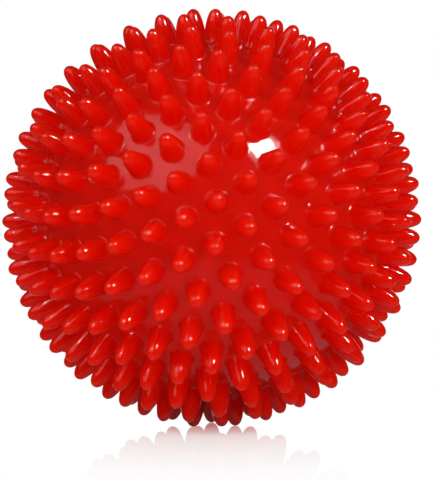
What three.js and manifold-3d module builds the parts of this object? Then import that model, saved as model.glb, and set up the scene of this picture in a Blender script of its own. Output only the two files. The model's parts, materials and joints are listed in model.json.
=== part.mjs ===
// Spiky massage ball: a hollow soft skin moulded with its spikes, a valve sleeve and a valve plug.
// Millimetres, +Z up. The origin is on the floor, straight below the middle of the ball.

import * as THREE from 'three';
import { ConvexHull } from 'three/addons/math/ConvexHull.js';
import { mergeVertices } from 'three/addons/utils/BufferGeometryUtils.js';
import Module from 'manifold-3d';

const wasm = await Module();
wasm.setup();

// Skin
const skinDiameter = 76;
const wallThickness = 2.5;
const cavityDetail = 4;

// Spikes: blunt bullets that stand on rings about the axis through the two poles
const spikeLength = 7;
const spikeBaseDiameter = 5.1;
const spikeRings = [[0.58, 0.81], [0.9, 0.48]]; // up the flank: share of the length, share of the base
const spikeSides = 5; // each ring is turned by half a side from the one below, so the flanks come out rounder
const ringCounts = [6, 12, 18, 22, 28, 31, 33, 33]; // from a pole to the equator, alike on both halves
const ringTurns = [ // each ring's turn from the resting meridian, as a share of its own spacing
  0.36, 0.4, 0.32, 0.45, 0.1, 0.26, 0.94, 0.91,
  0.2, 0.33, 0.46, 0.96, 0, 0.5, 0, 0,
];

// Rest: the ball lies on one tip of the seat ring and on the two nearest tips of the ring beyond it
const seatAngle = 138; // degrees from the spiked pole, the nearest ring is the seat ring
const leanHeading = -140.5; // degrees in plan, the way the spiked pole leans

// Valve, in the pole that faces away and down
const plugHeadDiameter = 6.6;
const plugHeadThickness = 1.6;
const plugHeadBevel = 0.3;
const plugStemDiameter = 3.6;
const plugStemLength = 8;
const plugTipDiameter = 2.4;
const plugTipLength = 1.5;
const plugRidges = 2;
const plugRidgeHeight = 0.4;
const plugRidgeWidth = 1;
const plugRidgePitch = 2.2;
const plugSink = 0.4; // depth of the plug's head below the land
const nailGap = 0.6; // room around the head for a fingernail
const sleeveWall = 0.8;
const sleeveFlangeLip = 1.5;
const sleeveFlangeThickness = 1.6;
const sleeveTail = 1; // sleeve below the end of the plug
const bossWall = 2.5;
const landRim = 1.5; // flat land outside the boss
const spikeFreeMargin = 1; // smooth skin between the land and the nearest spikes
const fitGap = 0.3;
const valveSegments = 32;

const skinRadius = skinDiameter / 2;
const tipRadius = skinRadius + spikeLength;
const facetWidth = spikeSides * Math.sin(Math.PI / spikeSides) / Math.PI; // mean width of a facetted round
const baseRadius = spikeBaseDiameter / 2 / facetWidth;
const ringPitch = Math.PI / (2 * ringCounts.length + 1);

const headRadius = plugHeadDiameter / 2;
const recessRadius = headRadius + nailGap;
const sleeveRadius = recessRadius + sleeveWall;
const boreRadius = sleeveRadius + fitGap;
const bossRadius = boreRadius + bossWall;
const landRadius = bossRadius + landRim;
const landHeight = Math.sqrt(skinRadius ** 2 - landRadius ** 2); // from the ball's middle
const headUnderside = -plugSink - plugHeadThickness; // heights in the valve are from the land, outwards
const stemEnd = headUnderside - plugStemLength;
const bossEnd = stemEnd - sleeveTail;

function countInRing(ring) {
  return ringCounts[Math.min(ring, 2 * ringCounts.length + 1 - ring) - 1];
}

function clearOfValve(ring) {
  const fromValve = Math.PI - ring * ringPitch;
  const innerEdge = skinRadius * Math.sin(fromValve) - baseRadius;
  return fromValve > Math.PI / 2 || innerEdge > landRadius + spikeFreeMargin;
}

function onUnitSphere(polar, turn) {
  return new THREE.Vector3(
    Math.sin(polar) * Math.cos(turn),
    Math.sin(polar) * Math.sin(turn),
    Math.cos(polar),
  );
}

// One spike on the spiked pole, then ring after ring up to the bare skin round the valve
function spikeDirections() {
  const directions = [onUnitSphere(0, 0)];
  for (let ring = 1; ring <= 2 * ringCounts.length; ring += 1) {
    if (!clearOfValve(ring)) {
      continue;
    }
    const count = countInRing(ring);
    for (let i = 0; i < count; i += 1) {
      const turn = (i + ringTurns[ring - 1]) * 2 * Math.PI / count;
      directions.push(onUnitSphere(ring * ringPitch, turn));
    }
  }
  return directions;
}

// A ring of points square to a direction, at a height from the ball's middle, turned by a share of a side
function ringOfPoints(direction, height, radius, sides, shift = 0) {
  const upright = Math.abs(direction.z) > 0.99;
  const reference = upright ? new THREE.Vector3(1, 0, 0) : new THREE.Vector3(0, 0, 1);
  const across = new THREE.Vector3().crossVectors(reference, direction).normalize();
  const along = new THREE.Vector3().crossVectors(direction, across);
  const points = [];
  for (let side = 0; side < sides; side += 1) {
    const turn = (side + shift) * 2 * Math.PI / sides;
    const point = direction.clone().multiplyScalar(height);
    point.addScaledVector(across, radius * Math.cos(turn));
    point.addScaledVector(along, radius * Math.sin(turn));
    points.push(point);
  }
  return points;
}

// The skin spans all base rings and the rim of the valve land. Each base is left open for its spike.
function spikedSkin() {
  const directions = spikeDirections();
  const baseHeight = Math.sqrt(skinRadius ** 2 - baseRadius ** 2);
  const valveSide = new THREE.Vector3(0, 0, -1);
  const bases = directions.map((way) => ringOfPoints(way, baseHeight, baseRadius, spikeSides));
  const land = ringOfPoints(valveSide, landHeight, landRadius, valveSegments);

  const points = [...bases.flat(), ...land];
  const spikedPoints = bases.length * spikeSides;
  const indexOf = new Map(points.map((point, index) => [point, index]));
  const triangles = [];
  for (const face of new ConvexHull().setFromPoints(points).faces) {
    const corners = [0, 1, 2].map((edge) => indexOf.get(face.getEdge(edge).head().point));
    const owners = new Set(corners.map((corner) => Math.floor(corner / spikeSides)));
    const isBase = owners.size === 1 && Math.max(...corners) < spikedPoints;
    if (!isBase) {
      triangles.push(...corners);
    }
  }

  directions.forEach((way, spike) => {
    let below = spike * spikeSides;
    spikeRings.forEach(([rise, width], level) => {
      const height = skinRadius + rise * spikeLength;
      const ring = points.length;
      points.push(...ringOfPoints(way, height, width * baseRadius, spikeSides, (level + 1) / 2));
      for (let side = 0; side < spikeSides; side += 1) {
        const next = (side + 1) % spikeSides;
        triangles.push(below + side, below + next, ring + side);
        triangles.push(below + next, ring + next, ring + side);
      }
      below = ring;
    });
    const tip = points.length;
    points.push(way.clone().multiplyScalar(tipRadius));
    for (let side = 0; side < spikeSides; side += 1) {
      triangles.push(below + side, below + (side + 1) % spikeSides, tip);
    }
  });

  const geometry = new THREE.BufferGeometry().setFromPoints(points);
  geometry.setIndex(triangles);
  return geometry;
}

// Turned form: a profile of [radius, height] points, revolved about +Z
function turnedForm(profile) {
  const points = profile.map(([radius, height]) => new THREE.Vector2(radius, height));
  const geometry = new THREE.LatheGeometry(points, valveSegments);
  geometry.rotateX(Math.PI / 2);
  return geometry;
}

function roundBar(radius, bottom, top) {
  return turnedForm([[0, bottom], [radius, bottom], [radius, top], [0, top]]);
}

function solidOf(geometry) {
  const bare = geometry.clone();
  bare.deleteAttribute('normal');
  bare.deleteAttribute('uv');
  const welded = mergeVertices(bare);
  return new wasm.Manifold(new wasm.Mesh({
    numProp: 3,
    vertProperties: new Float32Array(welded.attributes.position.array),
    triVerts: new Uint32Array(welded.index.array),
  }));
}

function geometryOf(solid) {
  const mesh = solid.getMesh();
  const geometry = new THREE.BufferGeometry();
  geometry.setAttribute('position', new THREE.BufferAttribute(mesh.vertProperties, 3));
  geometry.setIndex(new THREE.BufferAttribute(mesh.triVerts, 1));
  geometry.computeVertexNormals();
  return geometry;
}

// Hollow skin: the air space leaves a boss standing under the land, and the bore runs through both
function shellGeometry(valveMatrix) {
  const cavityRadius = skinRadius - wallThickness;
  const cavity = solidOf(new THREE.IcosahedronGeometry(cavityRadius, cavityDetail));
  const boss = solidOf(roundBar(bossRadius, bossEnd, 0).applyMatrix4(valveMatrix));
  const bore = solidOf(roundBar(boreRadius, bossEnd - bossWall, bossWall).applyMatrix4(valveMatrix));
  return geometryOf(solidOf(spikedSkin()).subtract(cavity.subtract(boss)).subtract(bore));
}

// Sleeve: a soft grommet with a flange behind the boss and a recess for the plug's head
function sleeveGeometry() {
  const stemBore = plugStemDiameter / 2 + plugRidgeHeight + fitGap;
  const flangeTop = bossEnd - fitGap;
  const flangeBottom = flangeTop - sleeveFlangeThickness;
  const flangeRadius = boreRadius + sleeveFlangeLip;
  const recessFloor = headUnderside - fitGap;
  return turnedForm([
    [stemBore, flangeBottom],
    [flangeRadius, flangeBottom],
    [flangeRadius, flangeTop],
    [sleeveRadius, flangeTop],
    [sleeveRadius, -fitGap],
    [recessRadius, -fitGap],
    [recessRadius, recessFloor],
    [stemBore, recessFloor],
    [stemBore, flangeBottom],
  ]);
}

// Plug: a flat bevelled head on a stem with round ridges and a tapered end
function plugGeometry() {
  const stemRadius = plugStemDiameter / 2;
  const taperTop = stemEnd + plugTipLength;
  const profile = [[0, stemEnd], [plugTipDiameter / 2, stemEnd], [stemRadius, taperTop]];
  for (let ridge = 0; ridge < plugRidges; ridge += 1) {
    const middle = taperTop + plugRidgeWidth + ridge * plugRidgePitch;
    profile.push([stemRadius, middle - plugRidgeWidth / 2]);
    profile.push([stemRadius + plugRidgeHeight, middle]);
    profile.push([stemRadius, middle + plugRidgeWidth / 2]);
  }
  profile.push([stemRadius, headUnderside]);
  profile.push([headRadius, headUnderside]);
  profile.push([headRadius, -plugSink - plugHeadBevel]);
  profile.push([headRadius - plugHeadBevel, -plugSink]);
  profile.push([0, -plugSink]);
  return turnedForm(profile);
}

function part(name, geometry, color, roughness) {
  const material = new THREE.MeshStandardMaterial({ color, roughness, metalness: 0 });
  const mesh = new THREE.Mesh(geometry, material);
  mesh.name = name;
  return mesh;
}

// The valve's own +Z points out of the ball, from the middle of its land
const valve = new THREE.Group();
valve.position.z = -landHeight;
valve.rotation.x = Math.PI;
valve.updateMatrix();
valve.add(part('valve_sleeve', sleeveGeometry(), 0xb3120e, 0.5));
valve.add(part('valve_plug', plugGeometry(), 0xe8e4da, 0.35));

// The lean that puts the three resting tips on the floor together
const seatRing = Math.round(THREE.MathUtils.degToRad(seatAngle) / ringPitch);
const seatFromValve = Math.PI - seatRing * ringPitch;
const beyondFromValve = seatFromValve - ringPitch;
const beyondHalfStep = Math.PI / countInRing(seatRing + 1);
const seatLean = Math.atan2(
  Math.cos(beyondFromValve) - Math.cos(seatFromValve),
  Math.sin(seatFromValve) - Math.sin(beyondFromValve) * Math.cos(beyondHalfStep),
);

const ball = new THREE.Group();
ball.rotation.set(0, seatLean, THREE.MathUtils.degToRad(leanHeading), 'ZYX');
ball.position.z = tipRadius * Math.cos(seatFromValve - seatLean);
ball.add(part('ball_shell', shellGeometry(valve.matrix), 0xd2180f, 0.25));
ball.add(valve);

const massageBall = new THREE.Group();
massageBall.add(ball);

export default massageBall;
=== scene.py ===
import json
import math
import bpy
from mathutils import Matrix, Vector
from mathutils.kdtree import KDTree


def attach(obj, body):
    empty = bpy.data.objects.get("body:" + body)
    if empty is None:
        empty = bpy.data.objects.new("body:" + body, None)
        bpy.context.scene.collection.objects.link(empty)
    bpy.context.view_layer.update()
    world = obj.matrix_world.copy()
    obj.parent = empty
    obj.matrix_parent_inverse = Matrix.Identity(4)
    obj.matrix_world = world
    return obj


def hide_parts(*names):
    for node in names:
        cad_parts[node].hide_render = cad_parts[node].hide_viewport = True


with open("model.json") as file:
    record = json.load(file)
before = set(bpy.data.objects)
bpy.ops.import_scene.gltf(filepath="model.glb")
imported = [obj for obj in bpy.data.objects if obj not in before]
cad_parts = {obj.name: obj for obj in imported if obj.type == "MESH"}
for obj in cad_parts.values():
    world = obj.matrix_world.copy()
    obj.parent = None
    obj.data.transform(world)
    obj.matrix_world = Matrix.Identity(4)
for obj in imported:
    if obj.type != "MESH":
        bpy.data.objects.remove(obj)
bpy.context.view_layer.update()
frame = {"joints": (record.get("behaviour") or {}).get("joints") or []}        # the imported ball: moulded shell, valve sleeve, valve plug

scene = bpy.context.scene

# the spike field as it is moulded, metres
ballLayout = {
    "skinRadius": 0.038,
    "spikeLength": 0.007,
    "ringCounts": [6, 12, 18, 22, 28, 31, 33, 33],    # pole to equator, alike on both halves
    "ringTurns": [0.36, 0.4, 0.32, 0.45, 0.1, 0.26, 0.94, 0.91,
                  0.2, 0.33, 0.46, 0.96, 0, 0.5, 0],  # share of each ring's own spacing
    "lastRing": 15,                                   # the rest is bare round the valve
    "seatRing": 13,                                   # one tip of this ring is on the floor
}
skinRadius = ballLayout["skinRadius"]
tipRadius = skinRadius + ballLayout["spikeLength"]
ringPitch = math.pi / (2 * len(ballLayout["ringCounts"]) + 1)

# how the ball lies: its spiked pole points away from the valve
pullJoint = next(joint for joint in frame["joints"] if joint["name"] == "plug_pull")
valveWay = Vector(pullJoint["axis"]).normalized()
lean = math.acos(-valveWay.z)
heading = math.atan2(-valveWay.y, -valveWay.x)
seatFromValve = math.pi - ballLayout["seatRing"] * ringPitch
ballMiddle = Vector((0, 0, tipRadius * math.cos(seatFromValve - lean)))
ballPlace = (Matrix.Translation(ballMiddle)
             @ Matrix.Rotation(heading, 4, "Z") @ Matrix.Rotation(lean, 4, "Y"))
print("ball middle", tuple(round(c, 5) for c in ballMiddle), "lean", round(math.degrees(lean), 2))

# how all meshes are closed and smoothed, metres and degrees
meshing = {
    "seed": 0.001,         # plane that is merged into a profile's first point
    "weld": 0.000001,
    "smoothAngle": 60,
}


# small helpers for one object at a time
def clearSelection():
    if bpy.context.object and bpy.context.object.mode != "OBJECT":
        bpy.ops.object.mode_set(mode="OBJECT")
    bpy.ops.object.select_all(action="DESELECT")


def activate(obj):
    clearSelection()
    obj.select_set(True)
    bpy.context.view_layer.objects.active = obj


def editAll(obj, how="VERT"):
    activate(obj)
    bpy.ops.object.mode_set(mode="EDIT")
    bpy.ops.mesh.select_mode(type=how)
    bpy.ops.mesh.select_all(action="SELECT")


def pickFaces(obj, wanted):
    editAll(obj, "FACE")
    bpy.ops.mesh.select_all(action="DESELECT")
    bpy.ops.object.mode_set(mode="OBJECT")
    picked = 0
    for face in obj.data.polygons:
        face.select = wanted(face)
        picked += face.select
    bpy.ops.object.mode_set(mode="EDIT")
    return picked


def leaveEdit():
    bpy.ops.object.mode_set(mode="OBJECT")


def joinTo(obj, others):
    activate(obj)
    for other in others:
        other.select_set(True)
    bpy.ops.object.join()
    return obj


def weldAll(gap):
    bpy.ops.mesh.select_all(action="SELECT")
    bpy.ops.mesh.remove_doubles(threshold=gap)
    bpy.ops.mesh.select_all(action="SELECT")


# the end of an object's editing: faces turned outwards, smoothed, and put where it belongs
def smoothAndSetDown(obj, place):
    bpy.ops.mesh.select_all(action="SELECT")
    bpy.ops.mesh.normals_make_consistent(inside=False)
    leaveEdit()
    bpy.ops.object.shade_smooth_by_angle(angle=math.radians(meshing["smoothAngle"]))
    activate(obj)
    obj.matrix_world = place
    bpy.ops.object.transform_apply(location=True, rotation=True, scale=True)
    print(obj.name, "faces", len(obj.data.polygons))
    return obj


# a profile drawn point by point from one vertex, then turned about Z; points are (radius, height)
def turnProfile(name, points, steps):
    clearSelection()
    bpy.ops.mesh.primitive_plane_add(size=meshing["seed"], location=(0, *points[0]))
    obj = bpy.context.object
    obj.name = name
    bpy.ops.object.transform_apply(location=True)
    editAll(obj)
    bpy.ops.mesh.merge(type="CENTER")
    for (oldRadius, oldHeight), (radius, height) in zip(points, points[1:]):
        step = (0, radius - oldRadius, height - oldHeight)
        bpy.ops.mesh.extrude_vertices_move(TRANSFORM_OT_translate={"value": step})
    weldAll(meshing["weld"])
    bpy.ops.mesh.spin(steps=steps, angle=2 * math.pi, center=(0, 0, 0), axis=(0, 0, 1))
    weldAll(meshing["weld"])
    leaveEdit()
    return obj


# the moulded skin: hollow, with all its spikes, the flat land and the boss of the valve
skinForm = {
    "sides": 14,
    "rootRadius": 0.00285,                # where the root's fillet starts
    "rootLip": 0.0027,
    "flank": [(0.00243, 0.00028), (0.00229, 0.0019), (0.00210, 0.0033),
              (0.00187, 0.0045), (0.00157, 0.0055), (0.00126, 0.0062),
              (0.00092, 0.00661), (0.00050, 0.0069)],                     # radius, height
    "wall": 0.0025,
    "landRadius": 0.009,
    "landEdge": 0.0002,                   # small chamfer on the bore and the boss
    "landSlack": 0.00001,                 # faces this close to the land, and facing out
    "landFacing": 0.999,                  # as straight as this, are opened
    "boreRadius": 0.005,
    "bossRadius": 0.0075,
    "bossDepth": 0.011,
    "turnSteps": 48,
    "cavityRings": 20,
    "seam": 0.00001,                      # weld between the outside and the inside
}


def skinHeight(radius):
    return math.sqrt(skinRadius ** 2 - radius ** 2)


rootHeight = skinHeight(skinForm["rootRadius"])
landHeight = skinHeight(skinForm["landRadius"])
flatShare = math.cos(math.pi / skinForm["sides"])       # a root's inner radius over its outer one


def spikeWays():
    ways = [Vector((0, 0, 1))]
    counts = ballLayout["ringCounts"]
    for ring in range(1, ballLayout["lastRing"] + 1):
        count = counts[min(ring, 2 * len(counts) + 1 - ring) - 1]
        polar = ring * ringPitch
        for i in range(count):
            turn = (i + ballLayout["ringTurns"][ring - 1]) * 2 * math.pi / count
            ways.append(Vector((math.sin(polar) * math.cos(turn),
                                math.sin(polar) * math.sin(turn), math.cos(polar))))
    return ways


def addCircle(vertices, radius, height):
    clearSelection()
    bpy.ops.mesh.primitive_circle_add(vertices=vertices, radius=radius, location=(0, 0, height))
    bpy.ops.object.transform_apply(location=True)
    return bpy.context.object


# one root circle, copied to every spike, and the rim of the valve's land
def layRoots(ways):
    first = addCircle(skinForm["sides"], skinForm["rootRadius"], rootHeight)
    circles = []
    for way in ways:
        circle = bpy.data.objects.new("root", first.data.copy())
        scene.collection.objects.link(circle)
        circle.matrix_world = way.to_track_quat("Z", "Y").to_matrix().to_4x4()
        circles.append(circle)
    bpy.data.objects.remove(first)
    skin = addCircle(skinForm["turnSteps"], skinForm["landRadius"], -landHeight)
    skin.name = "moulded_skin"
    print("root circles", len(circles))
    return joinTo(skin, circles)


# the skin is stretched over all of them, then each root is made one face again
def stretchSkin(skin, ways):
    editAll(skin)
    bpy.ops.mesh.convex_hull(join_triangles=False)
    leaveEdit()
    tree = KDTree(len(ways))
    for i, way in enumerate(ways):
        tree.insert(way * rootHeight, i)
    tree.balance()
    innerEdge = skinForm["rootRadius"] * flatShare
    capped = pickFaces(skin, lambda face: tree.find(face.center)[2] < innerEdge)
    bpy.ops.mesh.dissolve_faces()
    leaveEdit()
    print("cap triangles", capped)


# all spikes grow together, ring by ring; the first two rings are still on the skin
def growSpikes(skin):
    rings = [(radius, skinHeight(radius) - skinRadius)
             for radius in (skinForm["rootRadius"], skinForm["rootLip"])]
    rings += skinForm["flank"]
    roots = pickFaces(skin, lambda face: len(face.vertices) == skinForm["sides"])
    for (oldRadius, oldHeight), (radius, height) in zip(rings, rings[1:]):
        bpy.ops.mesh.inset(thickness=(oldRadius - radius) * flatShare,
                           depth=height - oldHeight, use_individual=True)
    bpy.ops.mesh.poke(offset=ballLayout["spikeLength"] - rings[-1][1])
    leaveEdit()
    print("spikes", roots)


# the land's flat ring, the bore, the boss and the air space, turned in one profile
def turnInside():
    s = skinForm
    edge = s["landEdge"]
    bore = s["boreRadius"]
    boss = s["bossRadius"]
    bossEnd = -landHeight + s["bossDepth"]
    cavity = skinRadius - s["wall"]
    profile = [(s["landRadius"], -landHeight), (s["landRadius"] - edge, -landHeight),
               (bore + edge, -landHeight), (bore, -landHeight + edge), (bore, bossEnd - edge),
               (bore + edge, bossEnd), (boss - edge, bossEnd), (boss, bossEnd - edge)]
    bossFoot = math.pi - math.asin(boss / cavity)
    for i in range(s["cavityRings"] + 1):
        polar = bossFoot * (1 - i / s["cavityRings"])
        profile.append((cavity * math.sin(polar), cavity * math.cos(polar)))
    return turnProfile("inside", profile, s["turnSteps"])


def isLand(face):
    return (face.center.z < -landHeight + skinForm["landSlack"]
            and face.normal.z < -skinForm["landFacing"])


def modelSkin():
    ways = spikeWays()
    skin = layRoots(ways)
    stretchSkin(skin, ways)
    growSpikes(skin)
    pickFaces(skin, isLand)
    bpy.ops.mesh.delete(type="FACE")
    leaveEdit()
    joinTo(skin, [turnInside()])
    editAll(skin)
    weldAll(skinForm["seam"])
    return smoothAndSetDown(skin, ballPlace)


# the valve's plug; here and in the sleeve, heights are from the land, outwards
plugForm = {
    "headRadius": 0.0033,
    "headThickness": 0.0016,
    "headSink": 0.0004,            # below the land
    "stemRadius": 0.0018,
    "stemLength": 0.008,
    "tipRadius": 0.0012,
    "tipLength": 0.0015,
    "ridges": 2,
    "ridgeHeight": 0.0004,
    "ridgeWidth": 0.001,
    "ridgePitch": 0.0022,
}
# the sleeve round it, in the bore of the boss
sleeveForm = {
    "nailGap": 0.0006,             # round the plug's head, to lift it by
    "wall": 0.0008,
    "flangeLip": 0.0015,
    "flangeThickness": 0.0016,
    "fitGap": 0.0003,
}
# how both are turned and their sharp edges rounded
turnedFinish = {
    "steps": 48,
    "sharpAngle": 40,              # degrees
    "round": 0.00018,
    "roundSteps": 2,
}
valvePlace = ballPlace @ Matrix.Translation((0, 0, -landHeight)) @ Matrix.Rotation(math.pi, 4, "X")


def modelTurned(name, profile):
    obj = turnProfile(name, profile, turnedFinish["steps"])
    editAll(obj, "EDGE")
    bpy.ops.mesh.select_all(action="DESELECT")
    bpy.ops.mesh.edges_select_sharp(sharpness=math.radians(turnedFinish["sharpAngle"]))
    bpy.ops.mesh.bevel(offset=turnedFinish["round"], segments=turnedFinish["roundSteps"])
    return smoothAndSetDown(obj, valvePlace)


def modelSleeve():
    s = sleeveForm
    gap = s["fitGap"]
    recess = plugForm["headRadius"] + s["nailGap"]
    outer = recess + s["wall"]
    stemBore = plugForm["stemRadius"] + plugForm["ridgeHeight"] + gap
    flangeTop = -skinForm["bossDepth"] - gap
    flangeBottom = flangeTop - s["flangeThickness"]
    flange = outer + gap + s["flangeLip"]
    recessFloor = -plugForm["headSink"] - plugForm["headThickness"] - gap
    profile = [(stemBore, flangeBottom), (flange, flangeBottom), (flange, flangeTop), (outer, flangeTop),
               (outer, -gap), (recess, -gap), (recess, recessFloor), (stemBore, recessFloor),
               (stemBore, flangeBottom)]
    return modelTurned("valve_grommet", profile)


def modelPlug():
    p = plugForm
    stem = p["stemRadius"]
    underside = -p["headSink"] - p["headThickness"]
    stemEnd = underside - p["stemLength"]
    taperTop = stemEnd + p["tipLength"]
    profile = [(0, stemEnd), (p["tipRadius"], stemEnd), (stem, taperTop)]
    for i in range(p["ridges"]):
        middle = taperTop + p["ridgeWidth"] + i * p["ridgePitch"]
        profile += [(stem, middle - p["ridgeWidth"] / 2), (stem + p["ridgeHeight"], middle),
                    (stem, middle + p["ridgeWidth"] / 2)]
    profile += [(stem, underside), (p["headRadius"], underside),
                (p["headRadius"], -p["headSink"]), (0, -p["headSink"])]
    return modelTurned("valve_stopper", profile)


# shader nodes; what is fed to an input is another node's output or a constant
white = (1, 1, 1, 1)


def feed(tree, node, feeds):
    for name, value in feeds.items():
        if isinstance(value, bpy.types.NodeSocket):
            tree.links.new(value, node.inputs[name])
        else:
            node.inputs[name].default_value = value


def addNode(tree, kind, feeds, operation=None):
    node = tree.nodes.new("ShaderNode" + kind)
    if operation:
        node.operation = operation
    feed(tree, node, feeds)
    return node


def calculate(tree, operation, first, second):
    return addNode(tree, "Math", {0: first, 1: second}, operation).outputs["Value"]


def mapRange(tree, value, fromMin, fromMax, toMin, toMax):
    feeds = {"Value": value, "From Min": fromMin, "From Max": fromMax, "To Min": toMin, "To Max": toMax}
    return addNode(tree, "MapRange", feeds).outputs["Result"]


def followCurve(tree, value, places):
    node = addNode(tree, "FloatCurve", {"Value": value})
    points = node.mapping.curves[0].points
    points[0].location = places[0]
    points[1].location = places[-1]
    for across, up in places[1:-1]:
        points.new(across, up)
    node.mapping.update()
    return node.outputs["Value"]


def tintAlong(tree, value, stops):
    node = addNode(tree, "ValToRGB", {"Fac": value})
    ramp = node.color_ramp.elements
    for end in (0, -1):
        ramp[end].position = stops[end][0]
        ramp[end].color = stops[end][1]
    for position, colour in stops[1:-1]:
        ramp.new(position).color = colour
    return node.outputs["Color"]


def addNoise(tree, place, scale, detail):
    return addNode(tree, "TexNoise", {"Vector": place, "Scale": scale, "Detail": detail}).outputs["Fac"]


def addBump(tree, height, strength, distance):
    feeds = {"Height": height, "Strength": strength, "Distance": distance}
    return addNode(tree, "Bump", feeds).outputs["Normal"]


def mixByRay(tree, ray, otherRays, theseRays):
    which = addNode(tree, "LightPath", {}).outputs[ray]
    return addNode(tree, "MixShader", {"Fac": which, 1: otherRays, 2: theseRays}).outputs["Shader"]


# materials, all on Object coordinates
def newMaterial(name):
    material = bpy.data.materials.new(name)
    material.use_nodes = True
    tree = material.node_tree
    place = addNode(tree, "TexCoord", {}).outputs["Object"]
    return material, tree, place, tree.nodes["Principled BSDF"]


softVinyl = {
    # the red darkens over the spikes' feet and flanks, painted shade where the spikes crowd each other, and
    # lightens again to the tips, painted light
    "tints": [(0.00, (0.88, 0.009, 0.003, 1)),     # skin between the spikes
              (0.14, (0.82, 0.007, 0.001, 1)),     # foot of a spike
              (0.55, (0.84, 0.008, 0.001, 1)),
              (1.00, (0.90, 0.013, 0.002, 1))],    # tip
    "mottleSize": 140,
    "mottleDetail": 5,
    "mottle": 0.05,
    "roughSkin": 0.07,
    "roughSpike": 0.035,
    "roughReach": 0.2,                             # share of a spike's length over which it changes
    "peelSize": 1400,
    "peelDetail": 2,
    "peel": 0.05,
    "peelDepth": 0.0002,
    "scatter": 1.0,
    "scatterRadius": (0.005, 0.0003, 0.0002),
    "scatterScale": 1,
    "ior": 1.53,
}


def vinylMaterial(name, look):
    material, tree, place, shader = newMaterial(name)
    centred = addNode(tree, "Mapping", {"Vector": place, "Location": -ballMiddle}).outputs["Vector"]
    reach = addNode(tree, "VectorMath", {0: centred}, "LENGTH").outputs["Value"]
    upSpike = mapRange(tree, reach, skinRadius, tipRadius, 0, 1)       # 0 on the skin, 1 at the tips
    mottle = addNoise(tree, centred, look["mottleSize"], look["mottleDetail"])
    blotch = mapRange(tree, mottle, 0, 1, -look["mottle"], look["mottle"])
    blotched = addNode(tree, "Math", {0: upSpike, 1: blotch}, "ADD")
    blotched.use_clamp = True
    along = blotched.outputs["Value"]
    peel = addNoise(tree, centred, look["peelSize"], look["peelDetail"])
    feed(tree, shader, {
        # this ramp paints shade on the spikes' feet and flanks and light on their tips
        "Base Color": tintAlong(tree, along, look["tints"]),
        "Roughness": mapRange(tree, along, 0, look["roughReach"], look["roughSkin"], look["roughSpike"]),
        "Normal": addBump(tree, peel, look["peel"], look["peelDepth"]),
        "Subsurface Weight": look["scatter"],
        "Subsurface Radius": look["scatterRadius"],
        "Subsurface Scale": look["scatterScale"],
        "IOR": look["ior"],
    })
    return material


mouldedPlastic = {
    "tints": [(0.3, (0.66, 0.62, 0.53, 1)), (0.7, (0.82, 0.79, 0.71, 1))],
    "grainSize": 700,
    "grainDetail": 6,
    "grain": 0.12,
    "grainDepth": 0.0001,
    "roughLow": 0.32,
    "roughHigh": 0.46,
}
mouldedRubber = {
    "tints": [(0.3, (0.20, 0.006, 0.006, 1)), (0.7, (0.34, 0.010, 0.009, 1))],
    "grainSize": 900,
    "grainDetail": 6,
    "grain": 0.12,
    "grainDepth": 0.0001,
    "roughLow": 0.42,
    "roughHigh": 0.58,
}


def mouldedMaterial(name, look):
    material, tree, place, shader = newMaterial(name)
    grain = addNoise(tree, place, look["grainSize"], look["grainDetail"])
    feed(tree, shader, {
        "Base Color": tintAlong(tree, grain, look["tints"]),
        "Roughness": mapRange(tree, grain, 0, 1, look["roughLow"], look["roughHigh"]),
        "Normal": addBump(tree, grain, look["grain"], look["grainDepth"]),
    })
    return material


def dress(obj, material, body, node):
    obj.data.materials.clear()
    obj.data.materials.append(material)
    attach(obj, body)
    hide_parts(node)


# camera where the photograph was taken, the image taken as 434 x 480
photoView = {
    "width": 434,
    "height": 480,
    "ballPixel": (211.8, 217.9),     # middle of the ball
    "ballPixels": 209.3,             # its radius over the tips
    "distancePixels": 2500,
    "elevation": 1.74,               # degrees
    "sensor": 24,                    # millimetres, along the height
    "clipStart": 0.01,
}


def setCamera():
    v = photoView
    perPixel = tipRadius / v["ballPixels"]
    up = math.radians(v["elevation"])
    away = Vector((0, -math.cos(up), math.sin(up)))
    upward = Vector((0, math.sin(up), math.cos(up)))
    spot = ballMiddle + away * v["distancePixels"] * perPixel
    right = (v["width"] / 2 - v["ballPixel"][0]) * perPixel
    below = (v["height"] / 2 - v["ballPixel"][1]) * perPixel
    aim = ballMiddle + Vector((right, 0, 0)) - upward * below
    data = bpy.data.cameras.new("camera")
    data.sensor_fit = "VERTICAL"
    data.sensor_height = v["sensor"]
    data.lens = v["distancePixels"] / v["height"] * v["sensor"]
    data.clip_start = v["clipStart"]
    camera = bpy.data.objects.new("camera", data)
    camera.location = spot
    camera.rotation_euler = (aim - spot).to_track_quat("-Z", "Y").to_euler()
    scene.collection.objects.link(camera)
    scene.camera = camera


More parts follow.
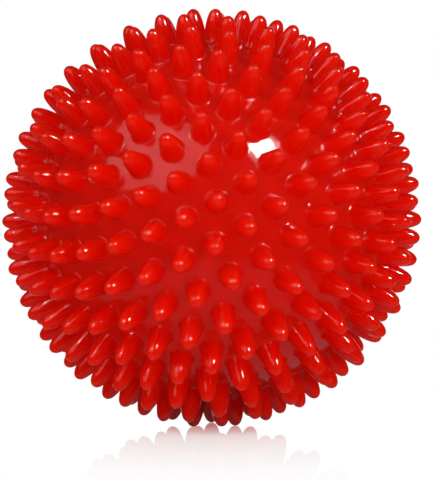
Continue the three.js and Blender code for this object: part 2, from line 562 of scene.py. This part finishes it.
# studio: a pale floor and backdrop, a small box on the right, a wide soft one on the left
studio = {
    "floorHalf": 2.5,
    "floorRough": 0.9,
    "mirrorReach": 0.1,              # the floor mirrors the ball this far out
    "mirror": [(0.0, 0.85), (0.13, 0.57), (0.22, 0.32), (0.4, 0.19),
               (0.63, 0.085), (0.85, 0.025), (1.0, 0.0)],                 # share of the reach, strength
    "mirrorTint": (0.68, 1, 1),
    "mirrorRough": 0.02,
    "fill": [(0.0, 0.47), (0.3, 0.34), (0.55, 0.09), (0.8, 0.15), (1.0, 0.22)],   # from front to back
    "dim": 0.02,                     # what the gloss mirrors where there is no box
    "floorGlow": 0.16,               # and the floor close by
    "floorEdge": (-0.5, -0.38),      # where that ends, as the upward part of a way
    "backdropGlow": 0.6,             # and the backdrop's foot, while the rest of it is white
    "backdropFoot": (-0.03, 0),      # upward part, from foot to white
    "backdropTop": (0.15, 0.19),     # upward part, from white to dim
    "backdropSide": (0.93, 0.95),    # backward part, from dim to white
    "boxes": {
        "right box": {"way": (0.50, -0.556, 0.66), "far": 0.8, "wide": 0.26, "tall": 0.26, "power": 0.7},
        "left box": {"way": (-0.56, -0.522, 0.643), "far": 0.9, "wide": 1.06, "tall": 0.75, "power": 2.1},
    },
    "glints": {                      # seen in the gloss only
        "right glint": {"way": (0.50, -0.556, 0.66), "far": 0.79, "wide": 0.18, "tall": 0.17, "power": 4.2},
        "left glint": {"way": (-0.60, -0.48, 0.643), "far": 0.85, "wide": 0.7, "tall": 0.5, "power": 0.25},
        "left spark": {"way": (-0.43, -0.57, 0.70), "far": 0.84, "wide": 0.08, "tall": 0.08, "power": 0.5},
    },
    "fills": {                       # not seen in the gloss
        "front fill": {"way": (0.52, -1, 0.05), "far": 1.0, "wide": 1.2, "tall": 0.25, "power": 3.4},
        "upper fill": {"way": (-0.3, -0.75, 0.6), "far": 1.0, "wide": 0.6, "tall": 0.4, "power": 0.65},
        "back fill": {"way": (0.05, 1, 0.32), "far": 1.0, "wide": 1.0, "tall": 0.5, "power": 3.4},
        "left back fill": {"way": (-0.93, 0.25, 0.3), "far": 1.0, "wide": 0.8, "tall": 0.5, "power": 0.1},
        "right back fill": {"way": (0.9, 0.42, 0.3), "far": 1.0, "wide": 0.8, "tall": 0.5, "power": 0.25},
    },
}


def addBox(name, box):
    data = bpy.data.lights.new(name, "AREA")
    data.shape = "RECTANGLE"
    data.size = box["wide"]
    data.size_y = box["tall"]
    data.energy = box["power"]
    lamp = bpy.data.objects.new(name, data)
    way = Vector(box["way"]).normalized()
    lamp.location = ballMiddle + way * box["far"]
    lamp.rotation_euler = way.to_track_quat("Z", "Y").to_euler()
    scene.collection.objects.link(lamp)
    return lamp


# matt, with less light thrown back where it mirrors, so darker and pinker near the ball: painted shade
# under the ball; to the camera paper white with a mirror image, and where that mirror sees only the dim
# room the paper's fade near the ball is a painted contact shadow
def floorMaterial(name, look):
    material, tree, place, shader = newMaterial(name)
    away = addNode(tree, "VectorMath", {0: place}, "LENGTH").outputs["Value"]
    fade = followCurve(tree, mapRange(tree, away, 0, look["mirrorReach"], 0, 1), look["mirror"])
    share = addNode(tree, "VectorMath", {0: look["mirrorTint"], "Scale": fade}, "SCALE").outputs["Vector"]
    # near the ball the floor's own colour is darker and pinker: painted shade under the ball
    rest = addNode(tree, "VectorMath", {0: white[:3], 1: share}, "SUBTRACT").outputs["Vector"]
    feed(tree, shader, {"Base Color": rest, "Roughness": look["floorRough"], "Specular IOR Level": 0})
    pale = addNode(tree, "Emission", {"Color": rest}).outputs["Emission"]
    gloss = addNode(tree, "BsdfGlossy", {"Color": share, "Roughness": look["mirrorRough"]})
    gloss.distribution = "MULTI_GGX"
    paper = addNode(tree, "AddShader", {0: pale, 1: gloss.outputs["BSDF"]}).outputs["Shader"]
    surface = mixByRay(tree, "Is Camera Ray", shader.outputs["BSDF"], paper)
    feed(tree, tree.nodes["Material Output"], {"Surface": surface})
    return material


def setFloor():
    clearSelection()
    bpy.ops.mesh.primitive_plane_add(size=2 * studio["floorHalf"])
    floor = bpy.context.object
    floor.name = "floor"
    floor.visible_glossy = False                       # the ball doesn't mirror it
    floor.data.materials.append(floorMaterial("floor", studio))


def setRoom():
    s = studio
    world = bpy.data.worlds.new("studio")
    world.use_nodes = True
    tree = world.node_tree
    way = addNode(tree, "TexCoord", {}).outputs["Generated"]
    split = addNode(tree, "SeparateXYZ", {"Vector": way})
    backward = split.outputs["Y"]
    upward = split.outputs["Z"]

    # soft fill for the matt side of things only, strongest from the camera's side
    fill = tree.nodes["Background"]
    depth = mapRange(tree, backward, -1, 1, 0, 1)
    feed(tree, fill, {"Color": white, "Strength": followCurve(tree, depth, s["fill"])})

    # what the gloss mirrors: a white backdrop straight behind, and the floor close by
    side = mapRange(tree, backward, *s["backdropSide"], 0, 1)
    top = mapRange(tree, upward, *s["backdropTop"], 1, 0)
    foot = mapRange(tree, upward, *s["backdropFoot"], s["backdropGlow"], 1)
    backdropLight = calculate(tree, "MULTIPLY", calculate(tree, "MULTIPLY", side, top), foot)
    floorLight = mapRange(tree, upward, *s["floorEdge"], s["floorGlow"], s["dim"])
    mirroredLight = calculate(tree, "MAXIMUM", backdropLight, floorLight)
    mirrored = addNode(tree, "Background", {"Color": white, "Strength": mirroredLight})

    # the camera sees plain white
    backdrop = addNode(tree, "Background", {"Color": white})
    unseen = mixByRay(tree, "Is Glossy Ray", fill.outputs["Background"], mirrored.outputs["Background"])
    surface = mixByRay(tree, "Is Camera Ray", unseen, backdrop.outputs["Background"])
    feed(tree, tree.nodes["World Output"], {"Surface": surface})
    scene.world = world


def setStudio():
    setFloor()
    setRoom()
    for name, box in studio["boxes"].items():
        addBox(name, box)
    for name, box in studio["glints"].items():
        addBox(name, box).visible_diffuse = False
    for name, box in studio["fills"].items():
        addBox(name, box).visible_glossy = False
    scene.view_settings.view_transform = "Standard"


setCamera()
setStudio()
print("camera and studio set")

skin = modelSkin()
dress(skin, vinylMaterial("soft vinyl", softVinyl), "ball", "ball_shell")
sleeve = modelSleeve()
dress(sleeve, mouldedMaterial("valve rubber", mouldedRubber), "ball", "valve_sleeve")
plug = modelPlug()
dress(plug, mouldedMaterial("plug plastic", mouldedPlastic), "plug", "valve_plug")
print("ball dressed")
